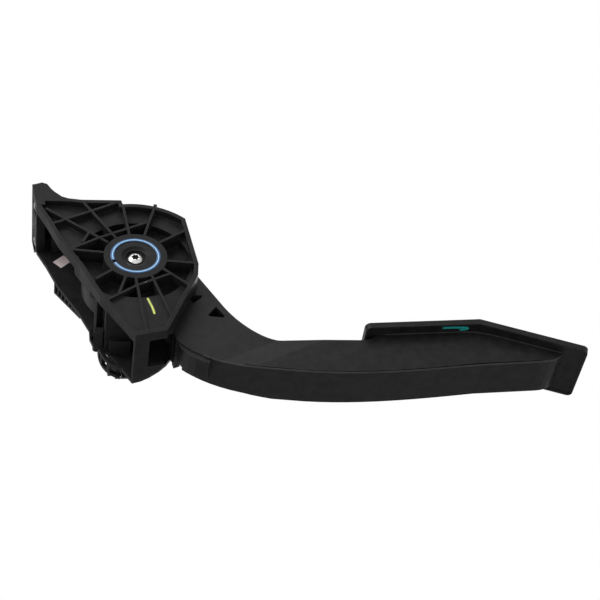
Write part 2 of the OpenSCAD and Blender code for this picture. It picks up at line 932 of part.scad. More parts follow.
// The arm's far side is open, with a zigzag of ribs between its walls.
core = [[96, -50.3], [139.5, -44.9], [149.5, -42.6], [154, -38.4], [214, -26.3], [254, -36.4],
    [250, -42.4], [216, -50], [182, -58.6], [146, -67.2], [110, -69.2], [96, -69.4]];
core_low = [[98, -70], [123, -70], [150, -67], [176, -61], [202, -54.5], [228, -48]];
core_high = [[111, -47.5], [137, -44], [163, -35.5], [188, -30.5], [213, -25.5], [240, -31.5]];
core_floor = 16.4;
core_rib_t = 1.9;
core_rib_end = 38.4;

module arm_core() {
    difference() {
        slab(core_floor, arm_far + 1)
            polygon(core);
        slab(core_floor - 1, core_rib_end)
            for (i = [0 : len(core_low) - 1]) {
                rib(core_low[i], core_high[i], core_rib_t);
                if (i > 0)
                    rib(core_high[i - 1], core_low[i], core_rib_t);
            }
    }
}

module pedal_arm() {
    color([0.18, 0.18, 0.185])
        fitted()
            difference() {
                union() {
                    arm_body();
                    heel_flare();
                    pad_plate();
                    disc(drum_r, neck_far - overlap, drum_end);
                    moving_spring_lug();
                }
                slab(0, pocket_floor)
                    polygon(pocket_one);
                slab(0, pocket_floor)
                    polygon(pocket_two);
                arm_core();
                disc(bore_r + seat_gap, 0, far_depth + 1);
                disc(magnet_r + seat_gap, drum_end - magnet_t, far_depth + 1);
                inner_spring_hole(inner_start, neck_far - 4, far_depth);
            }
}

module hub_bush(top, bottom) {
    disc(bore_r, top, bottom, axle_r + axle_play);
}

module hub_bush_near() {
    color([0.75, 0.6, 0.3])
        fitted()
            hub_bush(arm_near + 0.3, arm_near + 9);
}

module hub_bush_far() {
    color([0.75, 0.6, 0.3])
        fitted()
            hub_bush(neck_far - 5, neck_far + 4);
}

module thrust_washer_near() {
    color([0.9, 0.88, 0.8])
        fitted()
            disc(16, near_depth, arm_near - washer_gap, axle_r + axle_play);
}

module thrust_washer_far() {
    color([0.9, 0.88, 0.8])
        fitted()
            disc(8.6, drum_end + washer_gap, far_depth, axle_r + axle_play);
}

module magnet_ring() {
    color([0.3, 0.3, 0.32])
        fitted()
            disc(magnet_r, drum_end - magnet_t + overlap, drum_end, bore_r + 0.4);
}

// A wire swept along a path, with a ring of points at each place of the path.
wire_sides = 8;

function path_way(path, i) =
    unit(path[min(i + 1, len(path) - 1)] - path[max(i - 1, 0)]);
function wire_ring(path, i, r, ref) =
    let (t = path_way(path, i), a = unit(cross(t, ref)), b = cross(a, t))
    [for (k = [0 : wire_sides - 1])
        path[i] + r * (cos(360 * k / wire_sides) * a + sin(360 * k / wire_sides) * b)];

module wire(path, r, refs) {
    n = len(path);
    points = [for (i = [0 : n - 1]) each wire_ring(path, i, r, refs[i])];
    sides = [for (i = [0 : n - 2], k = [0 : wire_sides - 1])
        let (m = (k + 1) % wire_sides, p = i * wire_sides, q = p + wire_sides)
        [p + k, p + m, q + m, q + k]];
    start_cap = [for (k = [0 : wire_sides - 1]) wire_sides - 1 - k];
    end_cap = [for (k = [0 : wire_sides - 1]) (n - 1) * wire_sides + k];
    polyhedron(points = points, faces = concat([start_cap], sides, [end_cap]), convexity = 8);
}

// Torsion springs round the arm's drum: turns, then a leg at each end.
spring_turns = 2.5;
turn_steps = 24;
outer_wire_r = 1.3;
outer_coil_r = 21.5;
inner_wire_r = 1.1;
inner_coil_r = 15.2;
spring_gap = 0.5;
outer_start = -63;
inner_start = -20;
spring_end_turn = inner_start + spring_turns * 360;

function coil(r, wire_r, start) =
    let (top = neck_far + spring_gap + wire_r, bottom = far_depth - spring_gap - wire_r,
        steps = spring_turns * turn_steps)
    [for (i = [0 : steps]) let (a = start + spring_turns * 360 * i / steps)
        [r * cos(a), r * sin(a), -(top + (bottom - top) * i / steps)]];

module return_spring_outer() {
    path = coil(outer_coil_r, outer_wire_r, outer_start);
    first = path[0];
    last = path[len(path) - 1];
    leg = 5.5 / outer_coil_r;
    whole = concat([[first[0] * (1 + leg), first[1] * (1 + leg), first[2]]], path,
        [[last[0] * (1 + leg), last[1] * (1 + leg), last[2]]]);
    color([0.55, 0.56, 0.58])
        fitted()
            wire(whole, outer_wire_r, [for (p = whole) [0, 0, 1]]);
}

module return_spring_inner() {
    path = coil(inner_coil_r, inner_wire_r, inner_start);
    first = path[0];
    last = path[len(path) - 1];
    whole = concat([first + [0, 0, 4]], path, [last - [0, 0, 3]]);
    color([0.6, 0.61, 0.62])
        fitted()
            wire(whole, inner_wire_r, [for (p = whole) [p[0], p[1], 0]]);
}

module inner_spring_hole(turn, top, bottom) {
    translate([inner_coil_r * cos(turn), inner_coil_r * sin(turn), -bottom])
        cylinder(r = inner_wire_r + 0.2, h = bottom - top, $fn = 24);
}

// Lugs that the outer spring's legs push against.
lug_size = [4.5, 3, 4.5];
lug_start_r = 23.6;
lug_turn = 6.9;

module spring_lug_at(turn, top, bottom) {
    rotate([0, 0, turn])
        translate([lug_start_r, -lug_size[1] / 2, -bottom])
            cube([lug_size[0], lug_size[1], bottom - top]);
}

module moving_spring_lug() {
    spring_lug_at(outer_start + lug_turn, neck_far - overlap, neck_far + lug_size[2]);
}

module fixed_spring_lug() {
    spring_lug_at(outer_start + spring_turns * 360 - lug_turn, far_depth - lug_size[2], far_depth + overlap);
}

module rest_stop() {
    color([0.1, 0.1, 0.1])
        fitted()
            slab(near_depth + 2.5, stop_bottom)
                polygon(strip(rest_line, moving_gap, moving_gap + stop_t));
}

module full_stop() {
    color([0.1, 0.1, 0.1])
        fitted()
            slab(near_depth + 2.5, stop_bottom)
                polygon(strip(full_line, moving_gap, moving_gap + stop_t));
}

module sleeve(side) {
    color([0.72, 0.72, 0.7])
        fitted()
            on_bolt_axis(sleeve_start, side)
                difference() {
                    cylinder(r = sleeve_r, h = sleeve_end - sleeve_start);
                    translate([0, 0, -1])
                        cylinder(r = sleeve_bore_r, h = sleeve_end - sleeve_start + 2);
                }
}

module sleeve_near() sleeve(bolt_spacing / 2);
module sleeve_far() sleeve(-bolt_spacing / 2);

module sensor_board() {
    color([0.1, 0.35, 0.15])
        fitted()
            slab(board_depth, board_depth + board_t)
                pocket_square(-0.3);
}

module chip(x, y) {
    color([0.06, 0.06, 0.06])
        fitted()
            translate([x, y, -board_depth])
                cube([5, 4.4, 1.2]);
}

module sensor_chip_1() chip(-9, -14.6);
module sensor_chip_2() chip(1, -14.6);

gasket_t = 0.6;
lid_start = pocket_end + gasket_t;
lid_screw_r = 0.9;
lid_screw_length = 4;
lid_boss_r = 2.6;

module lid_screw_places() {
    for (x = [0, 1], y = [0, 1])
        translate([pocket_place[0] + x * pocket_size[0] - (1 - 2 * x) * pocket_wall,
            pocket_place[1] + y * pocket_size[1] - (1 - 2 * y) * pocket_wall])
            children();
}

module lid_outline() {
    pocket_square(pocket_wall);
    lid_screw_places()
        circle(r = lid_boss_r);
}

module lid_gasket() {
    color([0.45, 0.18, 0.12])
        fitted()
            slab(pocket_end, lid_start)
                difference() {
                    lid_outline();
                    pocket_square(0.4);
                    lid_screw_places()
                        circle(r = lid_screw_r + 0.2, $fn = 24);
                }
}

module sensor_lid() {
    color([0.15, 0.15, 0.155])
        fitted()
            slab(lid_start, lid_start + lid_t)
                difference() {
                    lid_outline();
                    lid_screw_places()
                        circle(r = lid_screw_r + 0.1, $fn = 24);
                }
}

module lid_screws() {
    color([0.75, 0.75, 0.74])
        fitted()
            lid_screw_places() {
                translate([0, 0, -lid_start - lid_t - 1.2])
                    cylinder(r = 1.9, h = 1.2, $fn = 32);
                translate([0, 0, -lid_start - lid_t])
                    cylinder(r = lid_screw_r, h = lid_t + lid_screw_length - 0.4, $fn = 24);
            }
}

module cover_screws() {
    color([0.75, 0.75, 0.74])
        fitted()
            for (place = column_places)
                translate([place[0], place[1], 0]) {
                    translate([0, 0, -pocket_end - 1.8])
                        cylinder(r = 3, h = 1.8, $fn = 32);
                    translate([0, 0, -pocket_end - overlap])
                        cylinder(r = column_hole_r, h = pocket_end - far_depth + 10, $fn = 24);
                }
}

// The connector hangs below the far plate and opens away from the near face.
connector_end = 59;
shroud_start = 47;
connector_w = block_length;
connector_h = 10;
grip_count = 4;
socket_end = 47.5;

module connector_square(grow) {
    on_back()
        translate([block_start - grow, -block_rise - grow])
            square([connector_w + 2 * grow, connector_h + 2 * grow]);
}

module pin_places() {
    on_back()
        for (i = [0 : terminal_count / 2 - 1], j = [0, 1])
            translate([block_start + connector_w / 2 + (i - (terminal_count / 2 - 1) / 2) * pin_pitch,
                -block_rise + connector_h / 2 + (j - 0.5) * pin_pitch])
                children();
}

module grip_ribs() {
    on_back()
        for (i = [0 : grip_count - 1])
            translate([block_start + i * (connector_w - 1.3) / (grip_count - 1), -block_rise])
                square([1.3, connector_h]);
}

module connector() {
    color([0.15, 0.15, 0.155])
        fitted()
            difference() {
                union() {
                    slab(floor_end, shroud_start)
                        connector_square(0);
                    slab(shroud_start, connector_end)
                        connector_square(-grip_depth);
                    slab(shroud_start, connector_end) {
                        grip_ribs();
                    }
                    slab(connector_end - 1.6, connector_end) {
                        connector_square(0.4);
                        on_back()
                            translate([block_start + 4.2, -block_rise - 2.9])
                                square([8, 4]);
                    }
                }
                slab(socket_end, connector_end + 1)
                    connector_square(-grip_depth - shroud_wall);
                slab(floor_end - 1, socket_end + 1)
                    pin_places()
                        square(pin_w + 0.1, center = true);
            }
}

module terminals() {
    color([0.8, 0.65, 0.3])
        fitted()
            slab(floor_end + 0.3, connector_end - 2.5)
                pin_places()
                    square(pin_w, center = true);
}

module label() {
    color([0.86, 0.8, 0.8])
        fitted()
            translate([-47.7, 23.9, -far_depth])
                rotate([0, 0, 51])
                    cube([9.2, 7.4, 0.15]);
}

housing();
side_cover();
pivot_cap();
hub_ring();
centre_screw();
pivot_axle();
pedal_arm();
hub_bush_near();
hub_bush_far();
thrust_washer_near();
thrust_washer_far();
magnet_ring();
return_spring_outer();
return_spring_inner();
rest_stop();
full_stop();
sleeve_near();
sleeve_far();
sensor_board();
sensor_chip_1();
sensor_chip_2();
sensor_lid();
lid_gasket();
connector();
terminals();
cover_screws();
lid_screws();
label();
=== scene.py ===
import math

import bmesh
import bpy
from mathutils import Matrix, Vector


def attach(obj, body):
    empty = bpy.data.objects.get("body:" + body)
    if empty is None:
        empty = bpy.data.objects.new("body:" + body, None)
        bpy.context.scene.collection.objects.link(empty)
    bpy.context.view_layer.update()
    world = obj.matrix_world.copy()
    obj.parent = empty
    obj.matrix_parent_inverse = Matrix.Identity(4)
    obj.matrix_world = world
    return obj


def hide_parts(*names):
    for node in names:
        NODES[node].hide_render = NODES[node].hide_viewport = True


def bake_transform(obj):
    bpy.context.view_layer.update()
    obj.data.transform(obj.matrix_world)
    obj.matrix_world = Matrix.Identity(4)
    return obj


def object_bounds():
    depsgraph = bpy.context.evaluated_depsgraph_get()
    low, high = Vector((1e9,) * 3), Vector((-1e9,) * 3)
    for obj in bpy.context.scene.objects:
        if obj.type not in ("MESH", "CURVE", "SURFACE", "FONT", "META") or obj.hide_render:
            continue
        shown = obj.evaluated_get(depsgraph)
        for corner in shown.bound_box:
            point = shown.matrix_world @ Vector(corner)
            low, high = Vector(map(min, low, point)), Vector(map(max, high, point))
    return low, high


bl_info = {
    "name": "Accelerator pedal dressing",
    "version": (1, 0, 0),
    "blender": (4, 5, 0),
    "location": "3D View > Sidebar > Pedal",
    "description": "Finishes the plastic, metal and rubber of an accelerator pedal and lights it",
    "category": "Object",
}

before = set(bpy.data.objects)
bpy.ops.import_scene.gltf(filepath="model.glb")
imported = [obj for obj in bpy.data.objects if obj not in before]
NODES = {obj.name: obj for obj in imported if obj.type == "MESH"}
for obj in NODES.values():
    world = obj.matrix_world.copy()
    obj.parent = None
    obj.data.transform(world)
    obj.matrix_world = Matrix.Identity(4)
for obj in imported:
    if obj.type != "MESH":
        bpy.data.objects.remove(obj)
CAD_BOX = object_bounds()

# The pedal is measured in its side view, in millimetres: across and up from the pivot, and
# the depth behind the near face. Fitted in the car, that view leans by the tilt.
MM = 0.001
PIVOT = Vector((0.0264, 0.0, -0.076))
NEAR_FACE = -0.026
TILT = math.radians(36)
TOWARDS_NEAR = Vector((0, -1, 0))
PAD_BACK_WAY = (0.18, -0.984)

# The lower edge of the arm's near face
EDGE_BEAD = [
    (46.85, -65.76, 13.8),
    (52.4, -67.75, 13.8),
    (58.2, -69.37, 13.75),
    (64.3, -70.64, 13.32),
    (70.6, -71.54, 12.94),
    (77.0, -72.06, 12.6),
    (83.5, -72.2, 12.6),
    (110.0, -71.8, 12.6),
    (127.6, -70.5, 12.6),
    (145.5, -68.16, 12.6),
    (163.4, -65.0, 12.6),
    (181.3, -61.24, 12.6),
    (199.0, -57.1, 12.6),
    (216.3, -52.8, 12.6),
    (256.6, -45.4, 12.6),
    (263.0, -43.26, 12.6),
    (267.3, -39.8, 12.6),
]
# Where the back of the pad meets the arm's near face
PAD_FILLET = [
    (157.2, -35.14, 12.6),
    (190.0, -29.23, 12.6),
    (215.93, -24.56, 12.6),
    (240.0, -30.03, 12.6),
    (268.9, -36.6, 12.6),
]

# A near-black strip of painted shadow, standing for a narrow groove at the parting line, runs
# beside the edge bead, between two of its points
GROOVE_SHADOW_SPAN = slice(4, -2)
GROOVE_SHADOW_SHIFT = (0.1, 0.85)
GROOVE_SHADOW_WIDTH = 0.0008
GROOVE_SHADOW_THICKNESS = 0.00003

# Paint marks, each with its width
TOE_MARK = [
    (9.95, -33.8, 2.0),
    (11.4, -36.9, 2.0),
    (13.0, -40.4, 2.0),
    (14.3, -43.8, 2.0),
    (15.2, -46.9, 2.0),
]
TOE_MARK_WIDTH = 1.7
PAD_MARK = [
    (192.4, -28.79, 8.6),
    (197.0, -27.97, 8.4),
    (202.5, -26.98, 8.6),
    (207.2, -26.13, 8.8),
    (208.8, -25.84, 9.7),
    (206.8, -26.2, 10.5),
    (203.5, -26.79, 10.4),
]
PAD_MARK_WIDTH = 1.9
RIB_SPECK = [(7.7, -22.4, 0.0), (8.0, -22.6, 0.0)]
RIB_SPECK_WIDTH = 0.7

# A paint stroke's shape: how much of its width the lighter middle takes, how high its edges are
# beside the middle, how far and how often its width wavers, and how blunt its tips are
STROKE_CORE = 0.45
STROKE_EDGE_HEIGHT = 0.35
STROKE_WAVER = 0.12
STROKE_WAVES = 7
STROKE_TIP = 0.02

# The hub ring's section as radius and depth, and its run in degrees
RING = [(13.0, -0.01), (13.4, -0.1), (14.85, -0.1), (15.5, -0.02)]
RING_FOOT = 0.03
RING_START = 213
RING_SWEEP = 350
RING_STEPS = 180

# Screws by node: where they stand, the depth of the head's seat, the way the head faces
# (-1 to the near side, 1 to the far side) and the sizes of head and shank
SCREWS = {
    "centre_screw": {
        "places": [(0, 0)],
        "seat": 3.4,
        "outwards": -1,
        "head_r": 4.6,
        "head_h": 2.8,
        "drop": 2.04,
        "shank_r": 2.1,
        "shank_length": 14.0,
    },
    "cover_screws": {
        "places": [(-26.3, 31.3), (10.5, 39.4), (8.8, -57.0), (-53.2, 41.1)],
        "seat": 47.5,
        "outwards": 1,
        "head_r": 3.0,
        "head_h": 1.8,
        "drop": 1.15,
        "shank_r": 1.3,
        "shank_length": 17.4,
    },
    "lid_screws": {
        "places": [(-18.8, -34.8), (-18.8, -6.7), (11.8, -34.8), (11.8, -6.7)],
        "seat": 49.9,
        "outwards": 1,
        "head_r": 1.9,
        "head_h": 1.2,
        "drop": 0.75,
        "shank_r": 0.9,
        "shank_length": 5.3,
    },
}
SCREW_SIDES = 120
DOME_PARTS = (0.63, 0.72, 0.8, 0.88, 0.94, 0.98)

# The six-lobed socket, as cut in a head of the given radius. Its floor's height is a share of
# the head's, and a flat middle covers a share of the floor.
SOCKET_HEAD_R = 4.6
SOCKET_CORE_R = 1.9
SOCKET_LOBE_R = 0.7
SOCKET_LOBE_AT = 1.8
SOCKET_LIP_R = 2.4
SOCKET_FLOOR = 0.43
SOCKET_MIDDLE = 0.35

# Torsion springs by node. Legs: how far both ends reach outwards, then the depth steps of the
# first and the last end.
COIL_TOP = 29.7
COIL_BOTTOM = 39.5
COIL_TURNS = 2.5
SPRINGS = {
    "return_spring_outer": {"radius": 21.5, "wire_radius": 1.3, "start": -63, "legs": (5.5, 0, 0)},
    "return_spring_inner": {"radius": 15.2, "wire_radius": 1.1, "start": -20, "legs": (0, -4, 3)},
}

# How much lighter than the plastic an edge is, at a rub and highlight level of 1: partly scuffs,
# partly a painted highlight along the rims
RUB_AND_HIGHLIGHT = 2.2

# The stage, in metres: each lamp stands on its way from the pedal's middle
LAMPS = {
    "key lamp": (-0.55, -0.8, 0.75),
    "top lamp": (0.3, -0.8, 0.9),
    "fill lamp": (0.9, 0.9, 0.3),
}
LAMP_DISTANCE = 1.6
LAMP_SIZE = 1.1
FLOOR_HALF = 4.0
FLOOR_FADE = (0.3, 1.1)
CAMERA_PLACE = (-0.3407, -0.6389, -0.6130)
CAMERA_RIGHT = (0.8017, -0.135, -0.5825)
CAMERA_AHEAD = (0.4948, 0.697, 0.5194)
CAMERA_SENSOR = 36
CAMERA_CLIP = 0.01


def place(across, up, depth):
    """A point of the side view, in millimetres about the pivot, as a point of the fitted pedal."""
    return Vector(
        (
            PIVOT.x + (across * math.cos(TILT) + up * math.sin(TILT)) * MM,
            NEAR_FACE + depth * MM,
            PIVOT.z + (up * math.cos(TILT) - across * math.sin(TILT)) * MM,
        )
    )


# Properties that a user would change


def colour(name, default, description):
    """A colour property."""
    return bpy.props.FloatVectorProperty(
        name=name, description=description, default=default, subtype="COLOR", size=3, min=0, max=1
    )


def length(name, default, description, low=0.0, high=1.0):
    """A length property in metres."""
    return bpy.props.FloatProperty(
        name=name,
        description=description,
        default=default,
        min=low,
        max=high,
        unit="LENGTH",
        precision=5,
    )


def share(name, default, description, high=1.0):
    """A plain number from 0 up."""
    return bpy.props.FloatProperty(
        name=name, description=description, default=default, min=0, max=high
    )


def power(name, default, description):
    """A lamp's power in watts."""
    return bpy.props.FloatProperty(
        name=name, description=description, default=default, min=0, max=500, unit="POWER"
    )


class MouldingSettings(bpy.types.PropertyGroup):
    """Settings of the moulded plastic"""

    housing_colour: colour(
        "Housing", (0.0100, 0.0099, 0.0103), "Colour of the housing and its cover"
    )
    arm_colour: colour("Arm", (0.0100, 0.0099, 0.0103), "Colour of the arm and the foot pad")
    cap_colour: colour("Cap", (0.0105, 0.0104, 0.0106), "Colour of the cap, lid and chips")
    # Painted light: the connector's black plastic at twice the housing's brightness, a lit copy
    # standing in for light on the lower corner
    connector_lit_colour: colour("Connector", (0.021, 0.021, 0.0215), "Colour of the connector")
    grain: length("Grain", 0.0009, "Width of the mould grain's cells", 0.0002, 0.005)
    grain_depth: length("Grain depth", 0.00004, "Height of the mould grain", 0.0, 0.001)
    edge: length("Edge rounding", 0.0004, "Radius of the moulded edges", 0.0, 0.002)
    roughness: share("Roughness", 0.5, "Roughness of the moulded plastic")
    sheen: share("Gloss level", 0.06, "Strength of the housing's reflections")
    arm_sheen: share("Arm gloss level", 0.085, "Strength of the arm's reflections")
    mottle: share("Mottle", 0.3, "Strength of the plastic's cloudy shades")
    # The lighter edges are partly scuffs and partly a painted highlight along the rims
    rub_and_highlight_reach: length(
        "Wear reach", 0.0006, "How far the scuffs reach in from an edge", 0.0, 0.002
    )
    rub_and_highlight: share("Edge wear", 1.6, "How much lighter the scuffed edges are", 3.0)
    bead_radius: length(
        "Bead radius", 0.00045, "Radius of the arm's edge bead and pad fillet", 0.0001, 0.001
    )


class MetalSettings(bpy.types.PropertyGroup):
    """Settings of the metal pieces"""

    zinc_colour: colour("Zinc", (0.36, 0.36, 0.35), "Colour of the plated screws and sleeves")
    bright_colour: colour("Centre screw", (0.66, 0.66, 0.64), "Colour of the bright centre screw")
    spring_colour: colour("Springs", (0.3, 0.3, 0.31), "Colour of the oiled spring wire")
    bush_colour: colour("Bushes", (0.6, 0.42, 0.2), "Colour of the sintered bushes")
    terminal_colour: colour("Terminals", (0.72, 0.58, 0.34), "Colour of the tinned terminals")
    wire_steps: bpy.props.IntProperty(
        name="Wire steps",
        description="Steps in each turn of the springs",
        default=48,
        min=12,
        max=96,
    )


class MarkSettings(bpy.types.PropertyGroup):
    """Settings of the paint, label, rubber and board"""

    # The ring's light middle is a painted highlight along its crown, and its dark edges are painted
    # shade
    ring_highlight: colour("Ring", (0.25, 0.52, 0.76), "Colour along the middle of the hub ring")
    ring_shade: colour("Ring edge", (0.001, 0.045, 0.14), "Colour along the edges of the hub ring")
    label_colour: colour("Label", (0.52, 0.44, 0.44), "Colour of the bare label film")
    inspection_light: colour(
        "Toe mark", (0.46, 0.52, 0.05), "Colour along the middle of the toe panel's mark"
    )
    inspection_dark: colour(
        "Toe mark edge", (0.13, 0.15, 0.015), "Colour along the edges of the toe panel's mark"
    )
    pad_mark_light: colour(
        "Pad mark", (0.012, 0.32, 0.29), "Colour along the middle of the pad's mark"
    )
    pad_mark_dark: colour(
        "Pad mark edge", (0.008, 0.16, 0.15), "Colour along the edges of the pad's mark"
    )
    film_thickness: length(
        "Paint thickness", 0.00008, "Thickness of the paint marks", 0.00001, 0.001
    )
    rubber_colour: colour("Rubber", (0.012, 0.012, 0.012), "Colour of the rubber stops")
    board_colour: colour("Board", (0.02, 0.12, 0.05), "Colour of the sensor board")


class StageSettings(bpy.types.PropertyGroup):
    """Settings of the lamps, floor and camera"""

    key_power: power("Key lamp", 23, "Power of the large soft lamp")
    top_power: power("Top lamp", 9, "Power of the soft lamp above the pad")
    fill_power: power("Fill lamp", 10, "Power of the lamp on the other side")
    ambient: share("Room light", 0.28, "Level of the even light from all around", 2.0)
    floor_drop: length(
        "Floor drop", 0.055, "How far the floor lies under the pedal at rest", 0.0, 0.2
    )
    floor_colour: colour("Floor", (0.86, 0.86, 0.86), "Colour of the floor")
    lens: bpy.props.FloatProperty(
        name="Lens",
        description="Focal length of the camera",
        default=86.43,
        min=20,
        max=300,
        unit="CAMERA",
    )


# Materials


class MaterialNodes:
    """Adds shader nodes to one material and links them."""

    def __init__(self, name):
        self.material = bpy.data.materials.new(name)
        self.material.use_nodes = True
        self.tree = self.material.node_tree
        self.shader = self.tree.nodes["Principled BSDF"]

    def join(self, value, socket):
        """Links an output to the socket, or sets the socket to a constant."""
        if isinstance(value, bpy.types.NodeSocket):
            self.tree.links.new(value, socket)
        else:
            socket.default_value = value

    def add(self, kind, settings=(), inputs=()):
        """A new node with its settings and its inputs, by name or number."""
        node = self.tree.nodes.new(kind)
        for key, value in dict(settings).items():
            setattr(node, key, value)
        for key, value in dict(inputs).items():
            self.join(value, node.inputs[key])
        return node

    def set(self, **values):
        """Sets inputs of the material's main shader."""
        for key, value in values.items():
            self.join(value, self.shader.inputs[key.replace("_", " ")])

    def position(self):
        """The place on the piece, in metres."""
        return self.add("ShaderNodeTexCoord").outputs["Object"]

    def noise(self, size, detail=3.0, roughness=0.5):
        """Cloudy noise with cells of about the given size in metres."""
        return self.add(
            "ShaderNodeTexNoise",
            inputs={
                "Vector": self.position(),
                "Scale": 1 / size,
                "Detail": detail,
                "Roughness": roughness,
            },
        ).outputs["Fac"]

    def ramp(self, value, stops):
        """Colours along a value from 0 to 1."""
        node = self.add("ShaderNodeValToRGB", inputs={"Fac": value})
        ramp = node.color_ramp
        while len(ramp.elements) < len(stops):
            ramp.elements.new(0.5)
        for element, (at, rgb) in zip(ramp.elements, stops):
            element.position = at
            element.color = (*rgb, 1)
        return node.outputs["Color"]

    def stretch(self, value, start, end, low=0.0, high=1.0):
        """Maps start to end onto low to high, and holds both ends."""
        return self.add(
            "ShaderNodeMapRange",
            inputs={
                "Value": value,
                "From Min": start,
                "From Max": end,
                "To Min": low,
                "To Max": high,
            },
        ).outputs["Result"]

    def spread(self, noise, low, high):
        """Spreads noise over a range."""
        return self.stretch(noise, 0.25, 0.75, low, high)

    def vector(self, operation, a, b=(0, 0, 0)):
        """A vector node for one operation."""
        return self.add("ShaderNodeVectorMath", {"operation": operation}, {0: a, 1: b})

    def bevel(self, radius):
        """The surface's normal with its edges rounded."""
        return self.add("ShaderNodeBevel", {"samples": 6}, {"Radius": radius}).outputs["Normal"]

    def bump(self, height, depth, strength=1.0, edge=0.0):
        """A normal with bumps of the given depth, over edges rounded by the edge radius."""
        inputs = {"Height": height, "Distance": depth, "Strength": strength}
        if edge > 0:
            inputs["Normal"] = self.bevel(edge)
        return self.add("ShaderNodeBump", inputs=inputs).outputs["Normal"]

    def edges(self, reach):
        """Rises towards 1 where the surface turns within reach."""
        flat = self.add("ShaderNodeNewGeometry").outputs["Normal"]
        same = self.vector("DOT_PRODUCT", self.bevel(reach), flat).outputs["Value"]
        return self.stretch(same, 1.0, 0.75)

    def times(self, a, b):
        """The product of two values."""
        return self.add("ShaderNodeMath", {"operation": "MULTIPLY"}, {0: a, 1: b}).outputs["Value"]

    def blend(self, how_much, low, high):
        """Mixes two colours or colour outputs."""
        node = self.add("ShaderNodeMix", {"data_type": "RGBA"}, {"Factor": how_much})
        for socket, value in ((node.inputs[6], low), (node.inputs[7], high)):
            self.join(value if isinstance(value, bpy.types.NodeSocket) else (*value, 1), socket)
        return node.outputs[2]


def shades(rgb, *levels):
    """The colour at several levels of brightness."""
    return [tuple(min(1.0, c * level) for c in rgb) for level in levels]


def moulded_plastic(name, rgb, s, rough=1.0, sheen=None):
    """Grained black plastic with cloudy shades and edges lightened by scuffs and a painted
    highlight; rough scales its roughness.
    """
    n = MaterialNodes(name)
    # Edges get lighter: partly scuffs, partly a painted highlight along the rims
    low, high, rubbed_and_highlit = shades(rgb, 1 - s.mottle, 1 + s.mottle, 1 + RUB_AND_HIGHLIGHT * s.rub_and_highlight)
    cloudy = n.ramp(n.noise(size=0.006, detail=6.0, roughness=0.62), [(0.32, low), (0.68, high)])
    patchy = n.spread(n.noise(size=0.004, detail=4.0), low=0.35, high=1.0)
    rub_and_highlight_mask = n.times(n.edges(s.rub_and_highlight_reach), patchy)
    level = s.roughness * rough
    uneven = n.noise(size=0.012, detail=4.0)
    grain = n.noise(size=s.grain, detail=2.0)
    n.set(
        Base_Color=n.blend(rub_and_highlight_mask, cloudy, rubbed_and_highlit),
        Roughness=n.spread(uneven, low=level * 0.88, high=min(1.0, level * 1.12)),
        Normal=n.bump(grain, depth=s.grain_depth, strength=0.8, edge=s.edge),
        Specular_IOR_Level=s.sheen if sheen is None else sheen,
    )
    return n.material


def plated_metal(name, rgb, rough):
    """Metal with faint tarnish."""
    n = MaterialNodes(name)
    low, high = shades(rgb, 0.78, 1.05)
    uneven = n.noise(size=0.0016, detail=4.0)
    n.set(
        Base_Color=n.ramp(n.noise(size=0.003, detail=6.0), [(0.3, low), (0.75, high)]),
        Roughness=n.spread(uneven, low=rough * 0.8, high=rough * 1.4),
        Normal=n.bump(n.noise(size=0.0007), depth=0.00002, strength=0.6, edge=0.00015),
        Metallic=1.0,
    )
    return n.material


def rubber_and_painted_shade(name, rgb, sheen=0.12):
    """Dull black rubber; also the near-black painted shade laid in the parting groove and the screw
    sockets.
    """
    n = MaterialNodes(name)
    low, high = shades(rgb, 0.7, 1.5)
    n.set(
        Base_Color=n.ramp(n.noise(size=0.004, detail=5.0), [(0.3, low), (0.7, high)]),
        Roughness=n.spread(n.noise(size=0.002), low=0.6, high=0.85),
        Normal=n.bump(n.noise(size=0.0005), depth=0.00005, strength=0.7, edge=0.0003),
        Specular_IOR_Level=sheen,
    )
    return n.material


def ring_paint(name, s):
    """Blue paint on the hub ring: a painted highlight along the middle of its crown and painted
    shade along its edges.
    """
    n = MaterialNodes(name)
    off = n.vector("SUBTRACT", n.position(), (PIVOT.x, 0, PIVOT.z)).outputs["Vector"]
    flat = n.vector("MULTIPLY", off, (1, 0, 1)).outputs["Vector"]
    out = n.vector("LENGTH", flat).outputs["Value"]
    across = n.stretch(out, RING[0][0] * MM, RING[3][0] * MM)
    # Painted highlight in the middle of the ring, painted shade at its edges
    stops = [(0.3, s.ring_shade), (0.44, s.ring_highlight), (0.5, s.ring_highlight), (0.62, s.ring_shade)]
    grain = n.noise(size=0.0005, detail=2.0)
    n.set(
        Base_Color=n.ramp(across, stops),
        Roughness=n.spread(n.noise(size=0.001), low=0.3, high=0.5),
        Normal=n.bump(grain, depth=0.00002, strength=0.5, edge=0.0001),
    )
    return n.material


def film(name, rgb):
    """Smooth paint, lacquer or film."""
    n = MaterialNodes(name)
    low, high = shades(rgb, 0.9, 1.08)
    n.set(
        Base_Color=n.ramp(n.noise(size=0.004, detail=4.0), [(0.3, low), (0.7, high)]),
        Roughness=n.spread(n.noise(size=0.002), low=0.3, high=0.45),
        Normal=n.bump(n.noise(size=0.0015, detail=2.0), depth=0.00002, strength=0.5),
    )
    return n.material


def give(material, *nodes):
    """Makes the material the only one of these solids."""
    for node in nodes:
        mesh = NODES[node].data
        mesh.materials.clear()
        mesh.materials.append(material)


# Pieces


def link(name, data, *materials):
    """Adds a piece with its materials to the scene."""
    piece = bpy.data.objects.new(name, data)
    for material in materials:
        data.materials.append(material)
    bpy.context.scene.collection.objects.link(piece)
    return piece


def mesh_piece(name, bm, *materials):
    """Turns finished faces into a piece."""
    bmesh.ops.recalc_face_normals(bm, faces=bm.faces)
    mesh = bpy.data.meshes.new(name)
    bm.to_mesh(mesh)
    bm.free()
    return link(name, mesh, *materials)


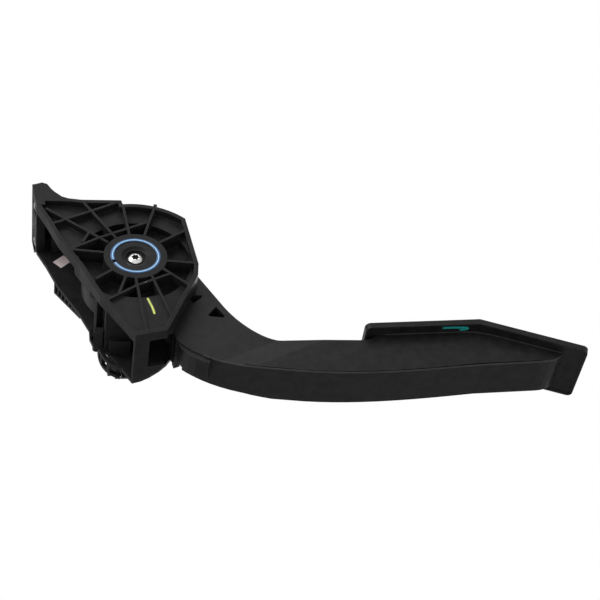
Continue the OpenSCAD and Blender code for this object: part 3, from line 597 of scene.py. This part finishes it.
def wire(name, points, radius, material):
    """A round wire or bead that runs smoothly past its points."""
    data = bpy.data.curves.new(name, "CURVE")
    data.dimensions = "3D"
    data.bevel_depth = radius
    data.bevel_resolution = 5
    data.resolution_u = 3
    data.use_fill_caps = True
    line = data.splines.new("NURBS")
    line.points.add(len(points) - 1)
    for knot, point in zip(line.points, points):
        knot.co = (*point, 1)
    line.order_u = 3
    line.use_endpoint_u = True
    return link(name, data, material)


def smooth_line(points, steps=8):
    """Points along a curve through the given ones."""
    ends = [2 * points[0] - points[1], *points, 2 * points[-1] - points[-2]]
    out = []
    for a, b, c, d in zip(ends, ends[1:], ends[2:], ends[3:]):
        slope, bend, twist = c - a, 2 * a - 5 * b + 4 * c - d, 3 * b - a - 3 * c + d
        for i in range(steps):
            t = i / steps
            out.append(0.5 * (2 * b + slope * t + bend * t * t + twist * t**3))
    return [*out, points[-1]]


def stroke_rows(points, width, out):
    """Four points across a stroke at each place of its line, narrow at both ends."""
    line = smooth_line(points)
    rows = []
    so_far, total = 0.0, sum((b - a).length for a, b in zip(line, line[1:]))
    for i, point in enumerate(line):
        way = (line[min(i + 1, len(line) - 1)] - line[max(i - 1, 0)]).normalized()
        side = way.cross(out).normalized()
        if i:
            so_far += (point - line[i - 1]).length
        to_end = min(so_far, total - so_far)
        round_end = 1 - max(0.0, 1 - to_end / (width / 2)) ** 2
        half = width / 2 * math.sqrt(max(STROKE_TIP, round_end))
        half *= 1 + STROKE_WAVER * math.sin(STROKE_WAVES * so_far / width)
        rows.append([point + side * half * k for k in (-1, -STROKE_CORE, STROKE_CORE, 1)])
    return rows


def stroke(name, points, width, out, thickness, edge, middle):
    """A strip on a flat face, for the paint strokes and for the painted shadow of the parting
    groove: raised, with round ends and its own colour along the edges.
    """
    bm = bmesh.new()
    heights = (STROKE_EDGE_HEIGHT, 1, 1, STROKE_EDGE_HEIGHT)
    rises = [out * (thickness * height) for height in heights]
    rows = stroke_rows(points, width, out)
    tops = [[bm.verts.new(p + rise) for p, rise in zip(row, rises)] for row in rows]
    feet = [[bm.verts.new(p - out * thickness) for p in (row[0], row[3])] for row in rows]
    for (a, b), (c, d) in zip(zip(tops, tops[1:]), zip(feet, feet[1:])):
        for k in range(3):
            bm.faces.new((a[k], a[k + 1], b[k + 1], b[k])).material_index = int(k == 1)
        bm.faces.new((c[0], a[0], b[0], d[0]))
        bm.faces.new((a[3], c[1], d[1], b[3]))
        bm.faces.new((c[1], c[0], d[0], d[1]))
    for top, foot in ((tops[0], feet[0]), (tops[-1], feet[-1])):
        bm.faces.new((foot[0], *top, foot[1]))
    return mesh_piece(name, bm, edge, middle)


def skin(bm, loops, inside_loops=0):
    """Joins closed loops by smooth faces; the first ones get the second material."""
    for k, (inner, outer) in enumerate(zip(loops, loops[1:])):
        for i in range(len(inner)):
            j = (i + 1) % len(inner)
            face = bm.faces.new((inner[i], inner[j], outer[j], outer[i]))
            face.smooth = True
            face.material_index = int(k < inside_loops)


def screw_rings(head_r, head_h, drop, shank_r, shank_length):
    """Rings of radius, angle and height, from the socket's floor to the end of the shank."""
    around = [math.tau * i / SCREW_SIDES for i in range(SCREW_SIDES)]
    bend = (head_r**2 + drop**2) / (2 * drop)
    scale = head_r / SOCKET_HEAD_R

    def lobes(a):
        off = (a + math.pi / 6) % (math.pi / 3) - math.pi / 6
        inside = SOCKET_LOBE_R**2 - (SOCKET_LOBE_AT * math.sin(off)) ** 2
        reach = SOCKET_LOBE_AT * math.cos(off) + math.sqrt(inside) if inside > 0 else 0
        return scale * max(SOCKET_CORE_R, reach)

    def dome(r):
        return head_h - (bend - math.sqrt(bend**2 - r * r))

    lip = dome(SOCKET_LIP_R * scale)
    floor = SOCKET_FLOOR * head_h
    rings = [[(lobes(a) * SOCKET_MIDDLE, a, floor) for a in around]]
    for outset, height in (
        (-0.06, floor),
        (0, floor + 0.1),
        (0, lip - 0.16),
        (0.05, lip - 0.05),
        (0.16, lip),
    ):
        rings.append([(lobes(a) + outset * scale, a, height) for a in around])
    for r, height in (
        *((part * head_r, dome(part * head_r)) for part in DOME_PARTS),
        (head_r, dome(head_r) - 0.1),
        (head_r, 0.1),
        (head_r - 0.08, 0.0),
        (shank_r, 0.0),
        (shank_r, 0.4 - shank_length),
        (shank_r - 0.3, -shank_length),
    ):
        rings.append([(r, a, height) for a in around])
    return rings


def screws(name, metal, painted_shade, places, seat, outwards, **sizes):
    """Domed screws with six-lobed sockets, whose walls and floor take a near-black painted shade.
    """
    rings = screw_rings(**sizes)
    bm = bmesh.new()
    for across, up in places:
        loops = []
        for ring in rings:
            spots = [
                place(across + r * math.cos(a), up + r * math.sin(a), seat + outwards * height)
                for r, a, height in ring
            ]
            loops.append([bm.verts.new(spot) for spot in spots])
        # The socket's walls and floor get the second material, the painted shade of the recess
        skin(bm, loops, inside_loops=2)
        bm.faces.new(loops[0]).material_index = 1
        bm.faces.new(loops[-1])
    return mesh_piece(name, bm, metal, painted_shade)


def coil(radius, top, bottom, start, legs, steps):
    """The line of a torsion spring with a leg at each end."""
    path = []
    for i in range(steps + 1):
        turn = math.radians(start + 360 * COIL_TURNS * i / steps)
        depth = top + (bottom - top) * i / steps
        path.append((radius * math.cos(turn), radius * math.sin(turn), depth))
    out, first, last = legs
    grow = 1 + out / radius
    path.insert(0, (path[0][0] * grow, path[0][1] * grow, path[0][2] + first))
    path.append((path[-1][0] * grow, path[-1][1] * grow, path[-1][2] + last))
    return [place(*p) for p in path]


# Operators


class PEDAL_OT_mouldings(bpy.types.Operator):
    """Gives the housing, cover, cap, connector and arm their moulded plastic"""

    bl_idname = "pedal.mouldings"
    bl_label = "Finish mouldings"

    def execute(self, context):
        s = context.scene.pedal_mouldings
        housing = moulded_plastic("housing plastic", s.housing_colour, s)
        arm = moulded_plastic("arm plastic", s.arm_colour, s, rough=0.84, sheen=s.arm_sheen)
        cap = moulded_plastic("cap plastic", s.cap_colour, s, rough=0.9)
        # Painted light: a lighter, glossier copy of the black plastic for the connector
        connector = moulded_plastic(
            "connector plastic", s.connector_lit_colour, s, rough=0.8, sheen=2 * s.arm_sheen
        )
        # Painted highlight: the edge bead and pad fillet take the arm plastic at 1.9 times its
        # brightness and 2.5 times its gloss
        lighter = shades(s.arm_colour, 1.9)[0]
        painted_highlight = moulded_plastic(
            "polished edge", lighter, s, rough=0.7, sheen=2.5 * s.arm_sheen
        )
        give(housing, "housing", "side_cover")
        give(arm, "pedal_arm")
        give(cap, "pivot_cap", "sensor_lid", "sensor_chip_1", "sensor_chip_2")
        give(connector, "connector")
        for name, points in (("arm_edge_bead", EDGE_BEAD), ("pad_fillet", PAD_FILLET)):
            bead = wire(name, [place(*p) for p in points], s.bead_radius, painted_highlight)
            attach(bead, "arm")
        self.groove_shadow()
        return {"FINISHED"}

    def groove_shadow(self):
        """A near-black strip where the two halves of the mould met: painted shadow of the narrow
        groove there.
        """
        # Painted shadow: near-black colour laid where the groove would lie in shade
        painted_shade = rubber_and_painted_shade("grime in the parting line", (0.0015, 0.0015, 0.0015), sheen=0.0)
        right, up = GROOVE_SHADOW_SHIFT
        line = [place(a + right, u + up, d) for a, u, d in EDGE_BEAD[GROOVE_SHADOW_SPAN]]
        shadow_strip = stroke(
            "arm_groove_shadow", line, GROOVE_SHADOW_WIDTH, TOWARDS_NEAR, GROOVE_SHADOW_THICKNESS, painted_shade, painted_shade
        )
        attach(shadow_strip, "arm")


class PEDAL_OT_metalwork(bpy.types.Operator):
    """Gives the screws, sleeves, axle, bushes, springs and terminals their metals"""

    bl_idname = "pedal.metalwork"
    bl_label = "Finish metalwork"

    def execute(self, context):
        s = context.scene.pedal_metals
        zinc = plated_metal("zinc plating", s.zinc_colour, rough=0.36)
        give(zinc, "sleeve_near", "sleeve_far", "pivot_axle", *SCREWS)
        bronze = plated_metal("sintered bronze", s.bush_colour, rough=0.5)
        give(bronze, "hub_bush_near", "hub_bush_far")
        give(plated_metal("tinned brass", s.terminal_colour, rough=0.3), "terminals")
        steel = plated_metal("oiled spring wire", s.spring_colour, rough=0.35)
        give(steel, "magnet_ring", *SPRINGS)
        bright = plated_metal("bright zinc", s.bright_colour, rough=0.3)
        # Painted shade: near-black colour laid inside the screws' sockets, where the recesses are
        # in shade
        painted_shade = rubber_and_painted_shade("grime in the sockets", (0.006, 0.006, 0.006), sheen=0.05)
        for node, shape in SCREWS.items():
            metal = bright if node == "centre_screw" else zinc
            piece = screws(node + "_socketed", metal, painted_shade, **shape)
            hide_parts(node)
            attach(piece, "bracket")
        for node, shape in SPRINGS.items():
            self.spring(context, s, steel, node, **shape)
        return {"FINISHED"}

    def spring(self, context, s, steel, node, radius, wire_radius, start, legs):
        """A round-wire torsion spring that twists between the arm and the housing."""
        top, bottom = COIL_TOP + wire_radius, COIL_BOTTOM - wire_radius
        path = coil(radius, top, bottom, start, legs, steps=int(COIL_TURNS * s.wire_steps))
        line = wire(node + "_line", path, wire_radius * MM, steel)
        context.view_layer.update()
        solid = line.evaluated_get(context.evaluated_depsgraph_get())
        mesh = bpy.data.meshes.new_from_object(solid)
        bpy.data.objects.remove(line)
        spring = link(node + "_wire", mesh)
        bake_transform(spring)
        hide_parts(node)


class PEDAL_OT_marks(bpy.types.Operator):
    """Gives the hub ring, label, rubber stops, washers and sensor board their finishes"""

    bl_idname = "pedal.marks"
    bl_label = "Finish ring, label and rubber"

    def execute(self, context):
        s = context.scene.pedal_marks
        paint = ring_paint("hub ring paint", s)
        give(paint, "hub_ring")
        self.ring(paint)
        give(film("label film", s.label_colour), "label")
        rubber = rubber_and_painted_shade("stop rubber", s.rubber_colour)
        give(rubber, "rest_stop", "full_stop", "lid_gasket")
        give(film("board lacquer", s.board_colour), "sensor_board")
        washer = film("washer plastic", (0.7, 0.68, 0.6))
        give(washer, "thrust_washer_near", "thrust_washer_far")
        self.paint(s)
        return {"FINISHED"}

    def ring(self, paint):
        """The open ring of paint: a low ridge with feathered edges."""
        bm = bmesh.new()
        section = [*RING, (RING[3][0], RING_FOOT), (RING[0][0], RING_FOOT)]
        loops = []
        for i in range(RING_STEPS + 1):
            a = math.radians(RING_START + RING_SWEEP * i / RING_STEPS)
            spots = [place(r * math.cos(a), r * math.sin(a), depth) for r, depth in section]
            loops.append([bm.verts.new(spot) for spot in spots])
        skin(bm, loops)
        bm.faces.new(loops[0])
        bm.faces.new(loops[-1])
        ring = mesh_piece("hub_ring_line", bm, paint)
        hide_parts("hub_ring")
        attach(ring, "bracket")

    def paint(self, s):
        """Strokes on the toe panel and the pad's back, and a speck on a rib."""
        green = [
            film("green paint edge", s.inspection_dark),
            film("green paint", s.inspection_light),
        ]
        teal = [film("teal paint edge", s.pad_mark_dark), film("teal paint", s.pad_mark_light)]
        pale = [film("pale paint", (0.55, 0.56, 0.5))] * 2
        pad_back = (place(*PAD_BACK_WAY, 0) - place(0, 0, 0)).normalized()
        for name, points, width, out, paints, body in (
            ("toe_panel_mark", TOE_MARK, TOE_MARK_WIDTH, TOWARDS_NEAR, green, "bracket"),
            ("pad_mark", PAD_MARK, PAD_MARK_WIDTH, pad_back, teal, "arm"),
            ("rib_speck", RIB_SPECK, RIB_SPECK_WIDTH, TOWARDS_NEAR, pale, "bracket"),
        ):
            line = [place(*p) for p in points]
            mark = stroke(name, line, width * MM, out, s.film_thickness, *paints)
            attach(mark, body)


class PEDAL_OT_stage(bpy.types.Operator):
    """Sets the floor, the lamps, the room light and the camera"""

    bl_idname = "pedal.stage"
    bl_label = "Set the stage"

    def execute(self, context):
        s = context.scene.pedal_stage
        self.floor(s)
        self.room(context, s)
        for (name, way), watts in zip(LAMPS.items(), (s.key_power, s.top_power, s.fill_power)):
            self.lamp(context, name, way, watts)
        self.camera(context, s)
        context.scene.view_settings.view_transform = "Standard"
        return {"FINISHED"}

    def floor(self, s):
        """A white floor that can't be seen from below and fades out around the pedal."""
        mesh = bpy.data.meshes.new("floor")
        bm = bmesh.new()
        bmesh.ops.create_grid(bm, x_segments=8, y_segments=8, size=FLOOR_HALF)
        bm.to_mesh(mesh)
        bm.free()
        floor = link("floor", mesh, self.floor_paper(s))
        floor.location.z = CAD_BOX[0].z - s.floor_drop
        floor.visible_shadow = False

    def floor_paper(self, s):
        """Paper that turns into plain white for the camera further out, and clear from below."""
        n = MaterialNodes("floor paper")
        low, high = shades(s.floor_colour, 0.99, 1.01)
        n.set(
            Base_Color=n.ramp(n.noise(size=0.4), [(0.3, low), (0.7, high)]),
            Roughness=0.9,
        )
        clear = n.add("ShaderNodeBsdfTransparent").outputs[0]
        below = n.add("ShaderNodeNewGeometry").outputs["Backfacing"]
        far = n.vector("LENGTH", n.position()).outputs["Value"]
        seen = n.add("ShaderNodeLightPath").outputs["Is Camera Ray"]
        white = n.add("ShaderNodeEmission", inputs={"Strength": 1.0}).outputs[0]
        faded = n.times(n.stretch(far, *FLOOR_FADE), seen)
        paper = n.shader.outputs[0]
        top = n.add("ShaderNodeMixShader", inputs={0: faded, 1: paper, 2: white}).outputs[0]
        mix = n.add("ShaderNodeMixShader", inputs={0: below, 1: top, 2: clear}).outputs[0]
        n.join(mix, n.tree.nodes["Material Output"].inputs["Surface"])
        return n.material

    def room(self, context, s):
        """Even light all around, seen as white by the camera, in reflections and through things."""
        world = bpy.data.worlds.new("studio")
        context.scene.world = world
        world.use_nodes = True
        tree = world.node_tree
        back = tree.nodes["Background"]
        back.inputs["Color"].default_value = (1, 1, 1, 1)
        path = tree.nodes.new("ShaderNodeLightPath")
        seen = path.outputs["Is Camera Ray"]
        for ray in ("Is Glossy Ray", "Is Transmission Ray"):
            either = tree.nodes.new("ShaderNodeMath")
            either.operation = "MAXIMUM"
            tree.links.new(seen, either.inputs[0])
            tree.links.new(path.outputs[ray], either.inputs[1])
            seen = either.outputs[0]
        level = tree.nodes.new("ShaderNodeMapRange")
        level.inputs["To Min"].default_value = s.ambient
        level.inputs["To Max"].default_value = 1.0
        tree.links.new(seen, level.inputs["Value"])
        tree.links.new(level.outputs["Result"], back.inputs["Strength"])

    def lamp(self, context, name, way, watts):
        """A round soft lamp that shines at the pedal's middle."""
        data = bpy.data.lights.new(name, "AREA")
        data.shape = "DISK"
        data.size = LAMP_SIZE
        data.energy = watts
        lamp = bpy.data.objects.new(name, data)
        way = Vector(way).normalized()
        lamp.location = (CAD_BOX[0] + CAD_BOX[1]) / 2 + way * LAMP_DISTANCE
        lamp.rotation_euler = way.to_track_quat("Z", "Y").to_euler()
        context.scene.collection.objects.link(lamp)

    def camera(self, context, s):
        """The camera, which looks across the pedal's near side."""
        right, ahead = Vector(CAMERA_RIGHT).normalized(), Vector(CAMERA_AHEAD).normalized()
        up = right.cross(ahead).normalized()
        right = ahead.cross(up)
        data = bpy.data.cameras.new("camera")
        data.sensor_width = CAMERA_SENSOR
        data.lens = s.lens
        data.clip_start = CAMERA_CLIP
        camera = bpy.data.objects.new("camera", data)
        turn = Matrix((right, up, -ahead)).transposed().to_4x4()
        camera.matrix_world = Matrix.Translation(CAMERA_PLACE) @ turn
        context.scene.collection.objects.link(camera)
        context.scene.camera = camera


STEPS = [
    (PEDAL_OT_mouldings, "pedal_mouldings", MouldingSettings),
    (PEDAL_OT_metalwork, "pedal_metals", MetalSettings),
    (PEDAL_OT_marks, "pedal_marks", MarkSettings),
    (PEDAL_OT_stage, "pedal_stage", StageSettings),
]


class PEDAL_PT_panel(bpy.types.Panel):
    """Lists the finishing steps and their settings"""

    bl_idname = "PEDAL_PT_panel"
    bl_label = "Accelerator pedal"
    bl_space_type = "VIEW_3D"
    bl_region_type = "UI"
    bl_category = "Pedal"

    def draw(self, context):
        for step, attribute, group in STEPS:
            box = self.layout.box()
            box.operator(step.bl_idname)
            for name in group.__annotations__:
                box.prop(getattr(context.scene, attribute), name)


def register():
    for step, attribute, group in STEPS:
        bpy.utils.register_class(group)
        setattr(bpy.types.Scene, attribute, bpy.props.PointerProperty(type=group))
        bpy.utils.register_class(step)
    bpy.utils.register_class(PEDAL_PT_panel)


def unregister():
    bpy.utils.unregister_class(PEDAL_PT_panel)
    for step, attribute, group in reversed(STEPS):
        bpy.utils.unregister_class(step)
        delattr(bpy.types.Scene, attribute)
        bpy.utils.unregister_class(group)


def main():
    register()
    bpy.ops.pedal.mouldings()
    bpy.ops.pedal.metalwork()
    bpy.ops.pedal.marks()
    bpy.ops.pedal.stage()


if __name__ == "__main__":
    main()
